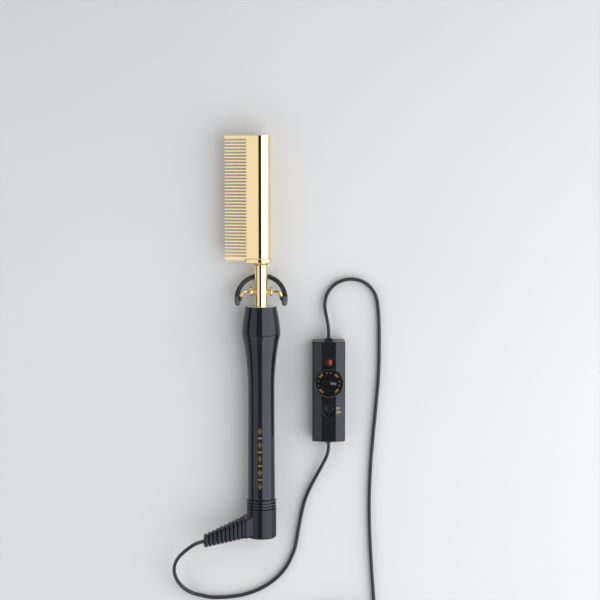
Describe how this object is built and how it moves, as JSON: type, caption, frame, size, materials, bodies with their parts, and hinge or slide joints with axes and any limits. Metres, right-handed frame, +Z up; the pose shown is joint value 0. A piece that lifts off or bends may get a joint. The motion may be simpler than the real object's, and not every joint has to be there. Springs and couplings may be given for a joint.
{
  "type": "hot comb",
  "caption": "Electric pressing comb with a toothed metal barrel, folding wire stand, tapered handle, swivel cord outlet, in-line temperature control and plug.",
  "frame": {"origin": "on the table, under the middle of the comb's box, measured without its cord, control and plug", "axes": "+Y along the comb from the cord outlet to the head, +X to the right with the teeth towards -X, +Z up from the table"},
  "size_m": [0.1605, 0.4332, 0.0295],
  "materials": {
    "gold_plate": "gold-plated casting, polished",
    "gold_tube": "gold-plated tube, polished",
    "gold_fittings": "gold-plated lugs and wire",
    "handle_black": "moulded phenolic, polished black",
    "foot_black": "heat-resistant moulding, satin",
    "swivel_black": "fine satin moulding, black",
    "boot_rubber": "flexible PVC boot, satin",
    "cord_black": "PVC jacket, satin black",
    "tie_black": "reusable tie",
    "plug_black": "moulded plug",
    "blade_metal": "nickel-plated brass",
    "case_black": "moulded case, high gloss",
    "base_black": "moulded base, fine texture",
    "dial_black": "moulded dial",
    "pointer_pale": "pale inlay",
    "slider_black": "moulded slider",
    "lens_red": "translucent red lens",
    "lamp_glass": "neon lamp",
    "steel": "plain steel",
    "contact_brass": "bare brass",
    "ceramic_white": "fired ceramic",
    "winding": "resistance tape",
    "mica": "mica sheet",
    "phenolic": "brown phenolic",
    "fuse_metal": "thermal fuse case",
    "lead_sleeve": "glass-fibre sleeving",
    "board_green": "solder mask",
    "component_grey": "component bodies",
    "sink_metal": "plain aluminium"
  },
  "bodies": {
    "cord_side": {"swivel_housing_front": "swivel_black", "swivel_housing_rear": "swivel_black", "contact_brushes": "contact_brass", "housing_screws": "steel", "cord_boot": "boot_rubber", "cord_short": "cord_black", "cord_long": "cord_black", "cord_coil": "cord_black", "cord_tie": "tie_black", "cord_tail": "cord_black", "plug_body": "plug_black", "plug_blades": "blade_metal", "control_base": "base_black", "control_cover": "case_black", "cover_screws": "steel", "circuit_board": "board_green", "potentiometer": "component_grey", "switch_body": "component_grey", "pilot_lamp": "lamp_glass", "lamp_lens": "lens_red", "triac": "component_grey", "heat_sink": "sink_metal", "terminal_block": "component_grey", "case_wires": "lead_sleeve", "upper_gland": "boot_rubber", "lower_gland": "boot_rubber"},
    "comb": {"comb_blade": "gold_plate", "barrel_end_plug": "gold_plate", "head_collar": "gold_plate", "heater_core": "ceramic_white", "heating_winding": "winding", "mica_sleeve": "mica", "neck_tube": "gold_tube", "pivot_lugs": "gold_fittings", "thermal_fuse": "fuse_metal", "heater_leads": "lead_sleeve", "handle_leads": "lead_sleeve", "lead_crimps": "contact_brass", "handle_front_cap": "handle_black", "neck_bush": "phenolic", "neck_pin": "steel", "handle_shell": "handle_black", "slip_ring_carrier": "phenolic", "front_slip_ring": "contact_brass", "rear_slip_ring": "contact_brass", "retaining_clip": "steel"},
    "stand": {"stand_wires": "gold_fittings", "stand_foot": "foot_black"},
    "dial": {"temperature_dial": "dial_black", "dial_pointer": "pointer_pale", "dial_shaft": "steel"},
    "slider": {"switch_slider": "slider_black"}
  },
  "joints": [
    {"name": "cord_swivel", "type": "hinge", "parent": "cord_side", "child": "comb", "pos_m": [0.0036, -0.13625, 0.01477], "axis": [0, 1, 0], "continuous": true},
    {"name": "stand_fold", "type": "hinge", "parent": "comb", "child": "stand", "pos_m": [0.0036, 0.03586, 0.01477], "axis": [-1, 0, 0], "range_deg": [0, 80]},
    {"name": "dial_turn", "type": "hinge", "parent": "cord_side", "child": "dial", "pos_m": [0.0552, -0.034, 0.017], "axis": [0, 0, 1], "range_deg": [-135, 135]},
    {"name": "power_switch", "type": "slide", "parent": "cord_side", "child": "slider", "axis": [0, -1, 0], "range_m": [0, 0.0028]}
  ]
}
